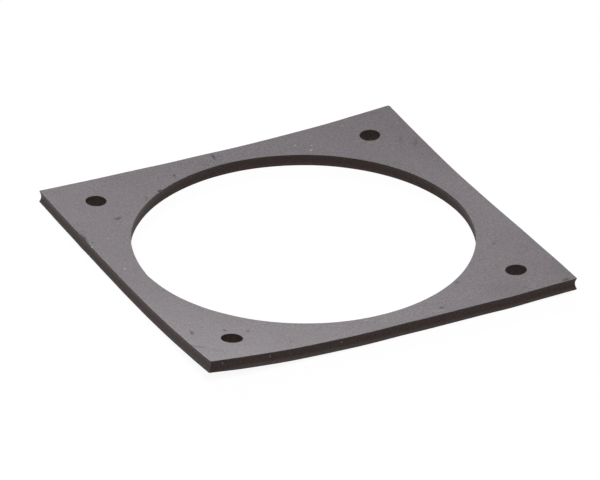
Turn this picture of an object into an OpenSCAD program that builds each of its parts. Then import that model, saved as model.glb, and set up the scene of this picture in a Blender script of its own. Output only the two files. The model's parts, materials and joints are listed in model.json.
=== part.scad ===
// Square gasket cut from rubber sheet, with a large round opening and four bolt holes.
// It lies free, as supplied. The sheet has taken a set: it is bowed like a shallow dish
// and each corner curls by its own amount, so the gasket stands on the lower lip of its
// opening. The origin is on the axis of the opening, in the plane the gasket lies on.
// +Z is up, -Y is the front edge and -X is the left edge.

/* [Sheet] */
// Length of a side of the square, measured between the lips of its cut edges
side = 101.6; // [98:0.1:140]
// Thickness of the rubber sheet
thickness = 3.2; // [2:0.1:6]
// Radius of the corners of the outline
corner_r = 0.6; // [0.5:0.1:6]
// How much the back edge is cut short of the square
back_short = 0.6; // [0:0.1:2]

/* [Opening] */
// Width of the rubber left at its narrowest, between the lip of the round opening and an
// edge of the square
rim_width = 7.05; // [4:0.05:21]

/* [Bolt holes] */
// Distance from an edge of the square to the centres of the bolt holes along it
bolt_inset = 11.2; // [7.8:0.1:13.8]
// Diameter of a bolt hole
bolt_hole_d = 5.4; // [3:0.1:7]

/* [Cut edges] */
// How deep the die leaves a cut wall hollowed between its two lips
cut_hollow = 0.38; // [0.1:0.02:0.5]
// Height of the straight land at each lip of a cut wall
lip_land = 0.16; // [0.12:0.02:0.4]

/* [Set of the sheet] */
// Rise of the sheet from its centre to the middle of its left and right edges
bow_x = 1.5; // [0:0.05:4]
// Rise of the sheet from its centre to the middle of its front and back edges
bow_y = 1.4; // [0:0.05:4]
// Distance from the centre, along a diagonal, at which a corner starts to curl
curl_start = 36; // [30:1:50]
// Extra lift of the front left corner above the bowed sheet
curl_front_left = 1.7; // [-2:0.05:4]
// Extra lift of the front right corner, which droops where it is below zero
curl_front_right = -1.05; // [-2:0.05:4]
// Extra lift of the back right corner
curl_back_right = 0.5; // [-2:0.05:4]
// Extra lift of the back left corner, which droops where it is below zero
curl_back_left = -0.75; // [-2:0.05:4]

/* [Hidden] */
$fn = 180;

// Facets of the warped sheet: along each side, round each corner, from the opening out
// to the outline, and down the hollow of the cut wall
side_steps = 24;
corner_steps = 3;
skin_steps = 6;
hollow_steps = 4;
// How far the sheet runs in past the lip of the opening before the opening is cut
trim = 2;
// Degrees between the points of the lip of the opening at which the sheet's height is taken
rim_step = 2;

half_side = side / 2;
half_thickness = thickness / 2;
opening_r = half_side - rim_width;
bolt_pitch = side - 2 * bolt_inset;
corner_reach = half_side * sqrt(2);

// The corners in order: front left, front right, back right, back left
corner_ways = [[-1, -1], [1, -1], [1, 1], [-1, 1]];
corner_curls = [curl_front_left, curl_front_right, curl_back_right, curl_back_left];
corner_start_angles = [180, 270, 0, 90];

// The hollow of a cut wall is an arc between its two lands
hollow_half = half_thickness - lip_land;
hollow_r = (pow(hollow_half, 2) + pow(cut_hollow, 2)) / (2 * cut_hollow);
hollow_angle = asin(hollow_half / hollow_r);

// How far a point of the plan lies into the curl of one corner: 0 where the curl starts
// and 1 at the tip of the square
function into_curl(p, way) =
    max(0, (p * way / sqrt(2) - curl_start) / (corner_reach - curl_start));

// Height of the middle of the sheet over a point of the plan
function sheet_rise(p) =
    bow_x * pow(p.x / half_side, 2) + bow_y * pow(p.y / half_side, 2)
    + corner_curls * [for (way = corner_ways) pow(into_curl(p, way), 2)];

// Slope of the sheet there, along X and along Y
function sheet_slope(p) =
    [2 * bow_x * p.x, 2 * bow_y * p.y] / pow(half_side, 2)
    + [for (i = [0 : 3]) corner_curls[i] * into_curl(p, corner_ways[i])] * corner_ways
    * sqrt(2) / (corner_reach - curl_start);

// The sheet stands on the lowest stretch of the lip of its opening
rim_rises = [for (a = [0 : rim_step : 360 - rim_step]) sheet_rise(opening_r * [cos(a), sin(a)])];
centre_z = half_thickness - min(rim_rises);
rim_z = centre_z + (min(rim_rises) + max(rim_rises)) / 2;

// The point at this height above the middle of the sheet, measured square to the sheet
function sheet_point(p, height) =
    let (slope = sheet_slope(p), up = [-slope.x, -slope.y, 1])
    [p.x, p.y, centre_z + sheet_rise(p)] + height * up / norm(up);

// A corner of the outline as an arc, with the outline drawn in by an inset
function corner_arc(i, inset) =
    let (
        back_y = half_side - back_short,
        tip = [half_side, corner_ways[i].y > 0 ? back_y : half_side] - [inset, inset],
        centre = [corner_ways[i].x * (tip.x - corner_r), corner_ways[i].y * (tip.y - corner_r)]
    )
    [for (step = [0 : corner_steps])
        let (a = corner_start_angles[i] + 90 * step / corner_steps)
        centre + corner_r * [cos(a), sin(a)]];

// The outline, counter-clockwise from the front left corner
function outline(inset) =
    [for (i = [0 : 3])
        let (
            arc = corner_arc(i, inset),
            from = arc[corner_steps],
            to = corner_arc((i + 1) % 4, inset)[0]
        )
        each concat(arc, [for (step = [1 : side_steps - 1]) from + (to - from) * step / side_steps])];

// A ring of the plan, from inside the opening at 0 to the outline at 1
function plan_ring(share) =
    [for (p = outline(0))
        let (inner = (opening_r - trim) * p / norm(p))
        inner + (p - inner) * share];

// The section of the sheet as rings of points: out along the top, down the hollow edge
// and back in along the underside
sheet_rings = [
    for (step = [0 : skin_steps])
        [for (p = plan_ring(step / skin_steps)) sheet_point(p, half_thickness)],
    for (step = [0 : hollow_steps])
        let (
            a = hollow_angle * (1 - 2 * step / hollow_steps),
            inset = hollow_r * cos(a) - hollow_r + cut_hollow
        )
        [for (p = outline(inset)) sheet_point(p, hollow_r * sin(a))],
    for (step = [skin_steps : -1 : 0])
        [for (p = plan_ring(step / skin_steps)) sheet_point(p, -half_thickness)]
];

// The warped sheet before its holes are cut
module warped_sheet() {
    rings = len(sheet_rings);
    around = len(sheet_rings[0]);
    polyhedron(
        points = [for (ring = sheet_rings) each ring],
        faces = [
            for (r = [0 : rings - 1], k = [0 : around - 1])
                let (
                    a = r * around + k,
                    b = r * around + (k + 1) % around,
                    c = (r + 1) % rings * around + (k + 1) % around,
                    d = (r + 1) % rings * around + k
                )
                each [[a, b, c], [a, c, d]]
        ],
        convexity = 4
    );
}

// What the die takes out of the opening, with the bulge that leaves its wall hollow
module opening_cut() {
    cylinder(h = side, r = opening_r, center = true);
    translate([0, 0, rim_z])
        rotate_extrude()
            translate([opening_r + cut_hollow - hollow_r, 0])
                circle(r = hollow_r);
}

module bolt_hole_cuts() {
    for (way = corner_ways)
        translate(way * bolt_pitch / 2)
            cylinder(h = side, d = bolt_hole_d, center = true);
}

module gasket() {
    color("#7f7a7d")
        difference() {
            warped_sheet();
            opening_cut();
            bolt_hole_cuts();
        }
}

gasket();
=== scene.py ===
import json
import math

import bmesh
import bpy
from mathutils import Matrix, Vector, noise


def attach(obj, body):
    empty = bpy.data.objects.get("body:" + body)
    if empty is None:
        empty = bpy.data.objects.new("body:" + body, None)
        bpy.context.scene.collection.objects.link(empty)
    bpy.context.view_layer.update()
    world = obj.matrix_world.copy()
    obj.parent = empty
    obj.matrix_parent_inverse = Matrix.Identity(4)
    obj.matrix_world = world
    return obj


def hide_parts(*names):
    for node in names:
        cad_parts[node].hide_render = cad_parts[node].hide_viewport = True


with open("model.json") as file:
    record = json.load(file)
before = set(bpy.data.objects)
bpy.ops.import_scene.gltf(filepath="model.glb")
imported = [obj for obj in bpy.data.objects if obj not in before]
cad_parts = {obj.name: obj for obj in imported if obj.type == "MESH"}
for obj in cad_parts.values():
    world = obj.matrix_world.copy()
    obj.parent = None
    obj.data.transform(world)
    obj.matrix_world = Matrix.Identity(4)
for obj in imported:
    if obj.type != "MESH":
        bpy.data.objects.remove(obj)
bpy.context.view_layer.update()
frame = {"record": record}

# The gasket. One square of black sheet rubber, 3.2 mm thick, with a round opening and four
# bolt holes, all cut by one stroke of a steel-rule die. The blade squeezes the rubber, so the
# cut walls spring back hollow, and the sheet keeps a set from the roll that it was stored on.
MM = 0.001
mounts = {mount["name"]: mount["dims"] for mount in frame["record"]["mounts"]}
side = 101.6
back_short = 0.6
corner_radii = [0.25, 0.25, 0.5, 0.25]
thickness = 3.2
opening_r = mounts["opening"]["r_mm"]
bolt_pitch = mounts["bolt_holes"]["spacing_x_mm"]
bolt_hole_r = mounts["bolt_holes"]["hole_r_mm"]
cut_hollow = 0.34
lip_land = 0.16
lip_round = 0.07
bow_x = 1.5
bow_y = 1.4
curl_start = 36
corner_ways = [Vector((-1, -1)), Vector((1, -1)), Vector((1, 1)), Vector((-1, 1))]
corner_curls = [1.7, -1.05, 0.5, -0.75]

half_side = side / 2
half_thickness = thickness / 2
outline_centre = (0, -back_short / 2, 0)
corner_reach = half_side * math.sqrt(2)

# How finely the mesh is cut up: round a corner, along a side, over a skin and down a wall
corner_steps = 4
side_cuts = 59
around = 4 * (side_cuts + 1 + corner_steps)
skin_cuts = 14
hollow_steps = 10
lip_steps = 4


def pick(kind, wanted):
    """Selects those vertices or edges of the mesh in hand that are wanted."""
    bpy.ops.mesh.select_mode(type=kind)
    bpy.ops.mesh.select_all(action="DESELECT")
    shape = bmesh.from_edit_mesh(bpy.context.object.data)
    for part in {"VERT": shape.verts, "EDGE": shape.edges}[kind]:
        part.select_set(wanted(part))
    bmesh.update_edit_mesh(bpy.context.object.data)


def middle(edge):
    return (edge.verts[0].co + edge.verts[1].co) / 2


def wall_profile():
    """Steps down a cut wall, each as how deep it lies in the rubber and its height."""
    hollow_half = half_thickness - lip_land
    hollow_r = (hollow_half**2 + cut_hollow**2) / (2 * cut_hollow)
    hollow_angle = math.asin(hollow_half / hollow_r)
    lip = [
        (lip_round * (1 - math.sin(a)), half_thickness - lip_round * (1 - math.cos(a)))
        for a in (math.pi / 2 * step / lip_steps for step in range(lip_steps + 1))
    ]
    hollow = [
        (hollow_r * math.cos(a) - hollow_r + cut_hollow, hollow_r * math.sin(a))
        for a in (hollow_angle * (1 - 2 * step / hollow_steps) for step in range(hollow_steps + 1))
    ]
    return lip + hollow + [(inset, -height) for inset, height in reversed(lip)]


def cut_down(profile, half_width, half_length, inward, centre):
    """Extrudes the selected loop down a wall profile, drawing it in or out at each step."""
    for (inset, height), (next_inset, next_height) in zip(profile, profile[1:]):
        bpy.ops.mesh.extrude_edges_move(
            TRANSFORM_OT_translate={"value": (0, 0, next_height - height)}
        )
        bpy.ops.transform.resize(
            value=(
                (half_width - inward * next_inset) / (half_width - inward * inset),
                (half_length - inward * next_inset) / (half_length - inward * inset),
                1,
            ),
            center_override=centre,
        )


# The blank: a square with rounded corners and the opening, joined by the top skin
profile = wall_profile()
lip_inset = profile[0][0]
bpy.ops.object.select_all(action="DESELECT")
bpy.ops.mesh.primitive_plane_add(size=1)
gasket = bpy.context.object
gasket.name = "rubber_gasket"
bpy.ops.object.mode_set(mode="EDIT")
bpy.ops.mesh.select_all(action="SELECT")
bpy.ops.transform.resize(
    value=(side - 2 * lip_inset, side - back_short - 2 * lip_inset, 1), center_override=(0, 0, 0)
)
bpy.ops.transform.translate(value=(0, -back_short / 2, half_thickness))
for way, corner_r in zip(corner_ways, corner_radii):
    pick("VERT", lambda vertex: vertex.co.xy @ way > half_side)
    bpy.ops.mesh.bevel(offset=corner_r, segments=corner_steps, affect="VERTICES")
pick("EDGE", lambda edge: edge.calc_length() > half_side)
bpy.ops.mesh.subdivide(number_cuts=side_cuts)
bpy.ops.mesh.select_all(action="SELECT")
bpy.ops.mesh.delete(type="ONLY_FACE")
bpy.ops.mesh.primitive_circle_add(
    vertices=around, radius=opening_r + lip_inset, location=(0, 0, half_thickness)
)
bpy.ops.mesh.select_all(action="SELECT")
bpy.ops.mesh.bridge_edge_loops(number_cuts=skin_cuts, interpolation="LINEAR")

# The cut walls, and the lower skin between their feet. The loops of the opening lie nearer
# than this to the centre, and those of the outline farther
opening_reach = (opening_r + half_side) / 2
pick("EDGE", lambda edge: edge.is_boundary and middle(edge).xy.length > opening_reach)
cut_down(profile, half_side, half_side - back_short / 2, 1, outline_centre)
pick(
    "EDGE",
    lambda edge: edge.is_boundary
    and middle(edge).z > 0
    and middle(edge).xy.length < opening_reach,
)
cut_down(profile, opening_r, opening_r, -1, (0, 0, 0))
pick("EDGE", lambda edge: edge.is_boundary)
bpy.ops.mesh.bridge_edge_loops(number_cuts=skin_cuts, interpolation="LINEAR")
bpy.ops.mesh.select_all(action="SELECT")
bpy.ops.mesh.normals_make_consistent(inside=False)
bpy.ops.object.mode_set(mode="OBJECT")

# The bolt holes, cut by punches whose shoulders round the lips. A punch widens as it leaves
# the rubber, so that none of its rings lies in a skin, and the cut leaves doubled points,
# which are welded
punch_sides = 96
punch_flare = 0.05
skin_gap = 0.01
weld = 0.001
punch_end = -lip_inset - punch_flare
punch_top = half_thickness + punch_flare
punch_shoulders = [
    (-inset, height)
    for inset, height in profile
    if half_thickness - lip_round <= abs(height) < half_thickness - skin_gap
]
punch_profile = [(punch_end, punch_top)] + punch_shoulders + [(punch_end, -punch_top)]
for way in corner_ways:
    bpy.ops.object.select_all(action="DESELECT")
    bpy.ops.mesh.primitive_circle_add(
        vertices=punch_sides, radius=bolt_hole_r - punch_end, location=(0, 0, 0)
    )
    punch = bpy.context.object
    bpy.ops.object.mode_set(mode="EDIT")
    bpy.ops.mesh.select_all(action="SELECT")
    bpy.ops.transform.translate(value=(0, 0, punch_top))
    cut_down(punch_profile, bolt_hole_r, bolt_hole_r, 1, (0, 0, 0))
    pick("EDGE", lambda edge: edge.is_boundary)
    bpy.ops.mesh.edge_face_add()
    bpy.ops.mesh.select_all(action="SELECT")
    bpy.ops.transform.translate(value=(way * bolt_pitch / 2).to_3d())
    bpy.ops.mesh.normals_make_consistent(inside=False)
    bpy.ops.object.mode_set(mode="OBJECT")
    bpy.context.view_layer.objects.active = gasket
    bolt_cut = gasket.modifiers.new("bolt_hole", "BOOLEAN")
    bolt_cut.object = punch
    bolt_cut.solver = "EXACT"
    bpy.ops.object.modifier_apply(modifier=bolt_cut.name)
    bpy.data.objects.remove(punch)
bpy.ops.object.mode_set(mode="EDIT")
bpy.ops.mesh.select_all(action="SELECT")
bpy.ops.mesh.remove_doubles(threshold=weld)
bpy.ops.object.mode_set(mode="OBJECT")


# The set of the sheet, by the same rule as the solids: the centre is the lowest, and each
# corner curls by its own amount
def into_curl(x, y, way):
    return max(0, (Vector((x, y)) @ way / math.sqrt(2) - curl_start) / (corner_reach - curl_start))


def sheet_rise(x, y):
    curls = zip(corner_curls, corner_ways)
    return (
        bow_x * (x / half_side) ** 2
        + bow_y * (y / half_side) ** 2
        + sum(curl * into_curl(x, y, way) ** 2 for curl, way in curls)
    )


def sheet_up(x, y):
    """Direction square to the sheet over a point of the plan."""
    slope = Vector((2 * bow_x * x, 2 * bow_y * y)) / half_side**2
    for curl, way in zip(corner_curls, corner_ways):
        slope += curl * into_curl(x, y, way) * math.sqrt(2) / (corner_reach - curl_start) * way
    return Vector((-slope.x, -slope.y, 1)).normalized()


# The sheet stands on the lowest stretch of the lip of its opening
rim_step = 2
rim_angles = [math.radians(a) for a in range(0, 360, rim_step)]
centre_z = half_thickness - min(
    sheet_rise(opening_r * math.cos(a), opening_r * math.sin(a)) for a in rim_angles
)

# Slight waves along the edges, each as its place in plan, how far it reaches along X and Y
# and its rise
edge_waves = [
    (-50.8, -50.8, 8, 8, -0.03),
    (-30, -50.8, 8, 8, -0.10),
    (1, -50.8, 8, 8, 0.10),
    (32, -50.8, 8, 8, -0.20),
    (50.8, -40, 8, 12, 0.22),
    (50.8, -24, 8, 14, 0.20),
    (50.8, 13, 8, 20, -0.18),
    (31, 50.2, 12, 8, -0.06),
    (-5, 50.2, 8, 8, 0.12),
    (-24, 50.2, 16, 8, 0.08),
    (-50.8, 24, 2, 2, -0.10),
]


def bell(*steps):
    """1 in the middle of a form, fading with the steps from it, each as a share of its reach."""
    return math.exp(-sum(step**2 for step in steps))


def wave_rise(x, y):
    return sum(
        rise * bell((x - at_x) / reach_x, (y - at_y) / reach_y) ** 2
        for at_x, at_y, reach_x, reach_y, rise in edge_waves
    )


# The rule of the opening is a strip bent to a ring. Its two ends meet at the left, where they
# stay straight for a few millimetres, so the lip has a slight corner there
joint_angle = 181
joint_reach = 4
joint_depth = 0.16
# Swells of the rule, each as its angle, how far it reaches and how far out it goes
rule_bulges = [(167, 9, -0.11), (231, 10, 0.04), (312, 16, -0.12)]


def rule_offset(angle):
    """How far the lip of the opening lies outside its circle, at an angle in degrees."""
    corner = joint_depth * max(0, 1 - abs(angle - joint_angle) / joint_reach)
    bulges = (out * bell((angle - at) / reach) for at, reach, out in rule_bulges)
    return corner + sum(bulges)


# The blade is bent by hand, so the lips wander by a few hundredths of a millimetre, over a
# length of some millimetres
lip_wander = 0.05
wander_length = 9
wander_seed = 3
room_for_wander = 1 - lip_wander / half_side
# How far from the opening its rule still shifts the sheet
opening_sway = 4
# At the front left corner the blade leant, so the lower lip of the front edge is drawn back
drawn_back = 0.5
drawn_reach = 6

noise.seed_set(wander_seed)
for vertex in gasket.data.vertices:
    x, y, height = vertex.co
    radius = math.hypot(x, y)
    near_opening = max(0, 1 - (radius - opening_r) / opening_sway)
    out = near_opening * rule_offset(math.degrees(math.atan2(y, x)) % 360) / radius
    drift = noise.noise_vector(Vector((x, y, height / thickness)) / wander_length)
    x = x * (room_for_wander + out) + lip_wander * drift.x
    y = y * (room_for_wander + out) + lip_wander * drift.y
    off_corner = math.hypot(x + half_side, y + half_side)
    low = max(0, -height / half_thickness)
    y += drawn_back * low * bell(off_corner / drawn_reach)
    middle_z = centre_z + sheet_rise(x, y) + wave_rise(x, y)
    vertex.co = Vector((x, y, middle_z)) + height * sheet_up(x, y)

gasket.data.transform(Matrix.Scale(MM, 4))

# Finish of the sheet rubber's two skins: calendered between rolls, so flat and matt, with a
# fine grain, and greyed partly by the bloom and talc that black rubber carries and partly by
# painted sheen: the skin's greys are lighter than the rubber, standing in for the grazing
# reflection of the pale surroundings. Where the die cut it, the rubber is fresh: near black,
# warm, and drawn into fine lines down the wall.


def linear(code):
    """Linear red, green, blue and alpha of an sRGB hex colour."""
    shares = [int(code[i : i + 2], 16) / 255 for i in (1, 3, 5)]
    return [s / 12.92 if s <= 0.04045 else ((s + 0.055) / 1.055) ** 2.4 for s in shares] + [1]


def add_node(tree, kind, settings, links=()):
    """Adds a node. Settings are its properties or sockets, and links are (socket, source)."""
    made = tree.nodes.new(kind)
    for name, value in settings.items():
        if isinstance(name, int) or name in made.inputs:
            made.inputs[name].default_value = value
        else:
            setattr(made, name, value)
    for socket, source in links:
        tree.links.new(source, made.inputs[socket])
    return made


def new_material(name):
    material = bpy.data.materials.new(name)
    material.use_nodes = True
    material.node_tree.nodes.clear()
    return material, material.node_tree


# Marks that the gasket has from handling: rubbed smudges and specks of dust, each as its
# place in plan, half its length and width, the turn of its length from +X, and its strength.
# Their edges are soft, so each fades out a little past its size
soft_edge = 1.6
smudges = [
    (-22.2, 38.1, 0.7, 0.4, 30, 0.75),
    (-27.0, 36.0, 1.3, 0.3, 65, 0.20),
    (-38.2, 29.3, 1.1, 0.5, 10, 0.30),
    (-2.0, 47.9, 1.7, 0.3, 90, 0.35),
    (-15.5, 43.5, 0.9, 0.4, 80, 0.28),
    (21.6, 42.1, 0.4, 0.3, 0, 0.45),
    (41.4, -25.0, 0.5, 0.3, 70, 0.45),
    (23.8, -38.0, 0.6, 0.5, 0, 0.30),
    (14.1, -47.6, 0.5, 0.4, 0, 0.35),
    (-47.1, -32.9, 1.2, 0.35, 85, 0.30),
    (-34.1, -37.1, 0.7, 0.4, 60, 0.25),
    (-39.1, -34.6, 0.8, 0.4, 120, 0.25),
    (-39.6, -43.8, 0.3, 0.3, 0, 0.30),
    (-27.0, -42.5, 0.4, 0.3, 0, 0.30),
    (-27.0, -46.7, 0.5, 0.3, 60, 0.25),
    (-50.5, 22.8, 2.3, 0.5, 88, 0.40),
    (-48.7, 22.0, 0.3, 0.2, 0, 0.50),
    (-49.5, 20.1, 0.3, 0.2, 0, 0.50),
    (-48.9, -41.6, 2.3, 0.4, -50, 0.20),
    (-46.0, -44.6, 1.8, 0.3, -50, 0.14),
    (-43.5, -45.9, 0.3, 0.3, 0, 0.35),
    (45.5, 33.6, 2.0, 0.5, 60, 0.12),
    (48.0, 30.0, 2.2, 0.5, 55, 0.12),
    (47.9, -49.9, 1.0, 0.6, 0, 0.30),
]
specks = [
    (-50.5, 18.1, 0.25, 0.25, 0, 1.00),
    (-44.8, 20.6, 0.25, 0.20, 60, 0.70),
    (-47.6, 4.7, 0.30, 0.25, 60, 0.95),
    (22.5, 40.1, 0.45, 0.25, 30, 0.70),
    (23.7, 42.2, 0.4, 0.2, 45, 0.50),
    (19.9, 44.2, 0.25, 0.25, 90, 0.65),
    (48.4, 41.0, 0.3, 0.2, 80, 0.50),
    (35.3, 46.9, 0.5, 0.3, 0, 0.20),
    (48.5, -28.3, 0.25, 0.2, 60, 0.60),
    (-45.2, -27.7, 0.25, 0.2, 60, 0.50),
    (-5.3, -44.5, 0.6, 0.3, 0, 0.25),
    (12.5, -48.6, 1.8, 0.5, -15, 0.12),
]


def marked(tree, place, marks):
    """Share of a mark at each point, 0 where there is none. The last number of a mark is its
    height above the middle of the sheet."""
    most = None
    for x, y, half_length, half_width, turn, strength, height in marks:
        spot = add_node(
            tree, "ShaderNodeMapping",
            {
                "vector_type": "TEXTURE",
                "Location": Vector((x, y, centre_z + sheet_rise(x, y) + height)) * MM,
                "Rotation": (0, 0, math.radians(turn)),
                "Scale": Vector((half_length, half_width, half_length)) * MM * soft_edge,
            },
            [("Vector", place)],
        ).outputs[0]
        reach = add_node(
            tree, "ShaderNodeVectorMath", {"operation": "LENGTH"}, [(0, spot)]
        ).outputs["Value"]
        share = add_node(
            tree, "ShaderNodeMapRange",
            {"interpolation_type": "SMOOTHSTEP", "From Max": 1.0, "To Min": strength, "To Max": 0.0},
            [("Value", reach)],
        ).outputs["Result"]
        most = share if most is None else add_node(
            tree, "ShaderNodeMath", {"operation": "MAXIMUM"}, [(0, most), (1, share)]
        ).outputs[0]
    return most


# The grain is finer on the real sheet, and is drawn as coarse as it needs to show. The bloom
# lies in clouds, tints the rubber a little from point to point, and makes the marks ragged
grain_size = 0.4
mottle_size = 7
tint_size = 0.6
ragged_size = 0.9
ragged_reach = 0.6

skin, tree = new_material("calendered_rubber_skin")
place = add_node(tree, "ShaderNodeTexCoord", {}).outputs["Object"]
grain = add_node(
    tree, "ShaderNodeTexNoise", {"Scale": 1 / (grain_size * MM), "Detail": 2, "Roughness": 0.7},
    [("Vector", place)],
).outputs["Fac"]
mottle = add_node(
    tree, "ShaderNodeTexNoise", {"Scale": 1 / (mottle_size * MM), "Detail": 5, "Roughness": 0.7},
    [("Vector", place)],
).outputs["Fac"]
tint = add_node(
    tree, "ShaderNodeTexNoise", {"Scale": 1 / (tint_size * MM), "Detail": 2, "Roughness": 0.7},
    [("Vector", place)],
).outputs["Color"]
grain_share = add_node(
    tree, "ShaderNodeMapRange", {"From Min": 0.4, "From Max": 0.6}, [("Value", grain)]
).outputs["Result"]
# Painted sheen: these greys are lighter than black rubber, partly for bloom and talc and partly to
# stand in for the grazing reflection of the pale surroundings
grained = add_node(
    tree, "ShaderNodeMix",
    {"data_type": "RGBA", 6: linear("#564c54"), 7: linear("#7c7077")}, [(0, grain_share)],
).outputs[2]
tinted = add_node(
    tree, "ShaderNodeMix", {"data_type": "RGBA", "blend_type": "LINEAR_LIGHT", 0: 0.09},
    [(6, grained), (7, tint)],
).outputs[2]
cloud = add_node(
    tree, "ShaderNodeMapRange", {"From Min": 0.3, "From Max": 0.7, "To Min": 0.88, "To Max": 1.12},
    [("Value", mottle)],
).outputs["Result"]
clouded = add_node(
    tree, "ShaderNodeMix", {"data_type": "RGBA", "blend_type": "MULTIPLY", 0: 1.0},
    [(6, tinted), (7, cloud)],
).outputs[2]
ragged = add_node(
    tree, "ShaderNodeTexNoise", {"Scale": 1 / (ragged_size * MM), "Detail": 2},
    [("Vector", place)],
).outputs["Color"]
ragged_place = add_node(
    tree, "ShaderNodeMix",
    {"data_type": "RGBA", "blend_type": "LINEAR_LIGHT", 0: ragged_reach * MM},
    [(6, place), (7, ragged)],
).outputs[2]
rubbed = marked(tree, ragged_place, [mark + (half_thickness,) for mark in smudges])
smudged = add_node(
    tree, "ShaderNodeMix", {"data_type": "RGBA", 7: linear("#1d1917")},
    [(0, rubbed), (6, clouded)],
).outputs[2]
dust_and_painted_light = marked(tree, place, [mark + (half_thickness,) for mark in specks])
specked = add_node(
    tree, "ShaderNodeMix", {"data_type": "RGBA", 7: linear("#f2eeee")},
    [(0, dust_and_painted_light), (6, smudged)],
).outputs[2]
# A rubbed smudge is duller, so it doesn't catch the low light
dullness = add_node(
    tree, "ShaderNodeMapRange", {"From Max": 0.5, "To Min": 0.58, "To Max": 1.0},
    [("Value", rubbed)],
).outputs["Result"]
grain_bump = add_node(
    tree, "ShaderNodeBump", {"Strength": 0.35, "Distance": 0.02 * MM}, [("Height", grain)]
).outputs["Normal"]
shader = add_node(
    tree, "ShaderNodeBsdfPrincipled", {"IOR": 1.5},
    [("Base Color", specked), ("Roughness", dullness), ("Normal", grain_bump)],
).outputs["BSDF"]
add_node(tree, "ShaderNodeOutputMaterial", {}, [("Surface", shader)])

# The blade draws the fresh rubber into lines, longer down the wall than they are wide
line_size = 0.5
line_stretch = 2.5

cut, tree = new_material("die_cut_rubber")
place = add_node(tree, "ShaderNodeTexCoord", {}).outputs["Object"]
drag_place = add_node(
    tree, "ShaderNodeMapping", {"Scale": (1, 1, 1 / line_stretch)}, [("Vector", place)]
).outputs[0]
torn = add_node(
    tree, "ShaderNodeTexNoise", {"Scale": 1 / (line_size * MM), "Detail": 3, "Roughness": 0.7},
    [("Vector", drag_place)],
).outputs["Fac"]
torn_share = add_node(
    tree, "ShaderNodeMapRange", {"From Min": 0.33, "From Max": 0.67}, [("Value", torn)]
).outputs["Result"]
torn_colour = add_node(
    tree, "ShaderNodeMix",
    {"data_type": "RGBA", 6: linear("#3c302d"), 7: linear("#4e413d")}, [(0, torn_share)],
).outputs[2]
tint = add_node(
    tree, "ShaderNodeTexNoise", {"Scale": 1 / (tint_size * MM), "Detail": 2, "Roughness": 0.7},
    [("Vector", place)],
).outputs["Color"]
tinted = add_node(
    tree, "ShaderNodeMix", {"data_type": "RGBA", "blend_type": "LINEAR_LIGHT", 0: 0.04},
    [(6, torn_colour), (7, tint)],
).outputs[2]
# Painted light: the lower half of the hollow, which faces up, is mixed towards a pale grey, standing
# in for the light that it gets from above
facing = add_node(
    tree, "ShaderNodeSeparateXYZ", {},
    [("Vector", add_node(tree, "ShaderNodeNewGeometry", {}).outputs["Normal"])],
).outputs["Z"]
painted_light_share = add_node(
    tree, "ShaderNodeMapRange", {"From Min": 0.2, "From Max": 0.5, "To Max": 0.3},
    [("Value", facing)],
).outputs["Result"]
dust_and_painted_light = add_node(
    tree, "ShaderNodeMix", {"data_type": "RGBA", 7: linear("#8f8685")},
    [(0, painted_light_share), (6, tinted)],
).outputs[2]
# Specks on the cut walls, each with its height above the middle of the sheet as well
wall_specks = [
    (-50.8, 18.1, 0.25, 0.25, 0, 1.0, 1.5),
    (-50.5, -34.3, 0.2, 0.2, 0, 0.7, 0.3),
    (-47.3, -50.5, 0.2, 0.2, 0, 0.7, 0.6),
    (-34.5, -50.4, 0.2, 0.2, 0, 0.5, 0.4),
    (-15.1, -50.4, 0.2, 0.2, 0, 0.6, 0.5),
]
specked = add_node(
    tree, "ShaderNodeMix", {"data_type": "RGBA", 7: linear("#d8d2d0")},
    [(0, marked(tree, place, wall_specks)), (6, dust_and_painted_light)],
).outputs[2]
torn_bump = add_node(
    tree, "ShaderNodeBump", {"Strength": 0.3, "Distance": 0.03 * MM}, [("Height", torn)]
).outputs["Normal"]
shader = add_node(
    tree, "ShaderNodeBsdfPrincipled",
    {"Roughness": 0.55, "IOR": 1.5, "Specular IOR Level": 0.2},
    [("Base Color", specked), ("Normal", torn_bump)],
).outputs["BSDF"]
add_node(tree, "ShaderNodeOutputMaterial", {}, [("Surface", shader)])

gasket.data.materials.clear()
gasket.data.materials.append(skin)
gasket.data.materials.append(cut)
# The skins are the faces that look up or down, and the rest is cut
skin_slope = 0.7
for face in gasket.data.polygons:
    face.material_index = 0 if abs(face.normal.z) > skin_slope else 1

bpy.ops.object.select_all(action="DESELECT")
gasket.select_set(True)
bpy.context.view_layer.objects.active = gasket
sharp_from = math.radians(30)
bpy.ops.object.shade_smooth_by_angle(angle=sharp_from)
even = gasket.modifiers.new("even_normals", "WEIGHTED_NORMAL")
even.keep_sharp = True
bpy.ops.object.modifier_apply(modifier=even.name)

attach(gasket, "root")
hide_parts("gasket")

# The stage. A wide pale floor under soft studio light, which is no part of the gasket: it
# shows white, and keeps the gasket's soft shadow.
floor_reach = 3
floor_drop = 0.05
floor_glow = 0.92


def seen_direct(tree):
    """1 where the camera looks straight at the stage, or sees it in a gloss or through glass."""
    light_path = add_node(tree, "ShaderNodeLightPath", {})
    seen = light_path.outputs["Is Camera Ray"]
    for ray in ("Is Glossy Ray", "Is Transmission Ray"):
        seen = add_node(
            tree, "ShaderNodeMath", {"operation": "MAXIMUM"},
            [(0, seen), (1, light_path.outputs[ray])],
        ).outputs[0]
    return seen


bpy.ops.object.select_all(action="DESELECT")
bpy.ops.mesh.primitive_plane_add(size=2 * floor_reach, location=(0, 0, -floor_drop * MM))
floor = bpy.context.object
floor.name = "floor"
paper, tree = new_material("white_paper")
lit = add_node(tree, "ShaderNodeBsdfDiffuse", {"Color": linear("#bcbcbc")}).outputs[0]
shaded = add_node(tree, "ShaderNodeBsdfDiffuse", {"Color": linear("#808080")}).outputs[0]
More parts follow.
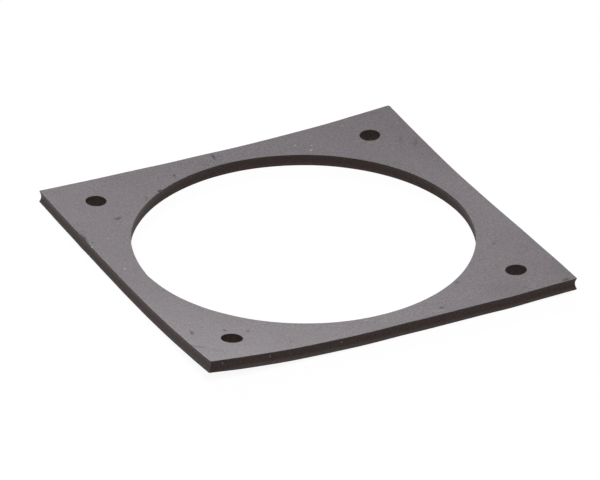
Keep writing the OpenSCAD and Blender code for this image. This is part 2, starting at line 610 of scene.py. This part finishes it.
# Little light reaches the floor round a bolt hole, under the rubber, so the camera sees no
# glow in that ring. These are the distances from the hole over which it comes and goes
shade_in = 0.9
shade_out_from = 2.2
shade_out_to = 2.8
floor_place = add_node(tree, "ShaderNodeTexCoord", {}).outputs["Object"]
quarter_place = add_node(
    tree, "ShaderNodeVectorMath", {"operation": "ABSOLUTE"}, [(0, floor_place)]
).outputs[0]
off_bolt = add_node(
    tree, "ShaderNodeVectorMath",
    {"operation": "DISTANCE", 1: Vector((bolt_pitch, bolt_pitch, 0)) / 2 * MM},
    [(0, quarter_place)],
).outputs["Value"]
under_bolt_hole = add_node(
    tree, "ShaderNodeMapRange",
    {"From Min": (bolt_hole_r + shade_in) * MM, "From Max": bolt_hole_r * MM},
    [("Value", off_bolt)],
).outputs["Result"]
clear_of_bolt_hole = add_node(
    tree, "ShaderNodeMapRange",
    {
        "From Min": (bolt_hole_r + shade_out_from) * MM,
        "From Max": (bolt_hole_r + shade_out_to) * MM,
    },
    [("Value", off_bolt)],
).outputs["Result"]
open_floor = add_node(
    tree, "ShaderNodeMath", {"operation": "MAXIMUM"},
    [(0, under_bolt_hole), (1, clear_of_bolt_hole)],
).outputs[0]
glowing = add_node(
    tree, "ShaderNodeMath", {"operation": "MAXIMUM"},
    [(0, open_floor), (1, add_node(tree, "ShaderNodeLightPath", {}).outputs["Is Glossy Ray"])],
).outputs[0]
glow_strength = add_node(
    tree, "ShaderNodeMath", {"operation": "MULTIPLY", 1: floor_glow}, [(0, glowing)]
).outputs[0]
glow = add_node(
    tree, "ShaderNodeEmission", {"Color": linear("#ffffff")}, [("Strength", glow_strength)]
).outputs[0]
white = add_node(tree, "ShaderNodeAddShader", {}, [(0, shaded), (1, glow)]).outputs[0]
paper_face = add_node(
    tree, "ShaderNodeMixShader", {}, [(0, seen_direct(tree)), (1, lit), (2, white)]
).outputs[0]
# From underneath the floor is clear, so that the gasket's lower skin can be looked at
from_below = add_node(
    tree, "ShaderNodeMath", {"operation": "MULTIPLY"},
    [
        (0, add_node(tree, "ShaderNodeLightPath", {}).outputs["Is Camera Ray"]),
        (1, add_node(tree, "ShaderNodeNewGeometry", {}).outputs["Backfacing"]),
    ],
).outputs[0]
clear = add_node(tree, "ShaderNodeBsdfTransparent", {}).outputs[0]
surface = add_node(
    tree, "ShaderNodeMixShader", {}, [(0, from_below), (1, paper_face), (2, clear)]
).outputs[0]
add_node(tree, "ShaderNodeOutputMaterial", {}, [("Surface", surface)])
floor.data.materials.append(paper)

world = bpy.data.worlds.new("studio")
bpy.context.scene.world = world
world.use_nodes = True
tree = world.node_tree
tree.nodes.clear()
room = add_node(
    tree, "ShaderNodeBackground", {"Color": linear("#ffffff"), "Strength": 0.07}
).outputs[0]
beyond = add_node(
    tree, "ShaderNodeBackground", {"Color": linear("#ffffff"), "Strength": 1.0}
).outputs[0]
surface = add_node(
    tree, "ShaderNodeMixShader", {}, [(0, seen_direct(tree)), (1, room), (2, beyond)]
).outputs[0]
add_node(tree, "ShaderNodeOutputWorld", {}, [("Surface", surface)])


def soft_light(name, place, size, power):
    """A square soft box at a place, turned to the gasket."""
    bpy.ops.object.light_add(type="AREA", location=place)
    light = bpy.context.object
    light.name = name
    light.rotation_euler = Vector(place).to_track_quat("Z", "Y").to_euler()
    light.data.shape = "SQUARE"
    light.data.size = size
    light.data.energy = power
    light.visible_camera = False


soft_light("low_light_from_behind", (0.5, 1.65, 0.38), size=1.1, power=21.2)
soft_light("light_from_left", (-1.4, 0.1, 0.8), size=0.9, power=1)
soft_light("light_from_front", (-0.4, -0.9, 1.25), size=0.9, power=8.4)

# The camera, at the photograph's angle. It is far off with a long lens, and looks at a point
# close to the centre of the gasket.
aim = Vector((-0.733, 0.469, 2.174)) * MM
azimuth = math.radians(26.863)
elevation = math.radians(29.247)
roll = math.radians(0.188)
distance = 1228.8 * MM
bpy.ops.object.camera_add()
camera = bpy.context.object
camera.data.lens = 291.4
camera.data.sensor_width = 36
turned = (
    Matrix.Rotation(-azimuth, 4, "Z")
    @ Matrix.Rotation(math.pi / 2 - elevation, 4, "X")
    @ Matrix.Rotation(roll, 4, "Z")
)
camera.matrix_world = (
    Matrix.Translation(aim) @ turned @ Matrix.Translation((0, 0, distance))
)
bpy.context.scene.camera = camera
bpy.context.scene.view_settings.view_transform = "Standard"
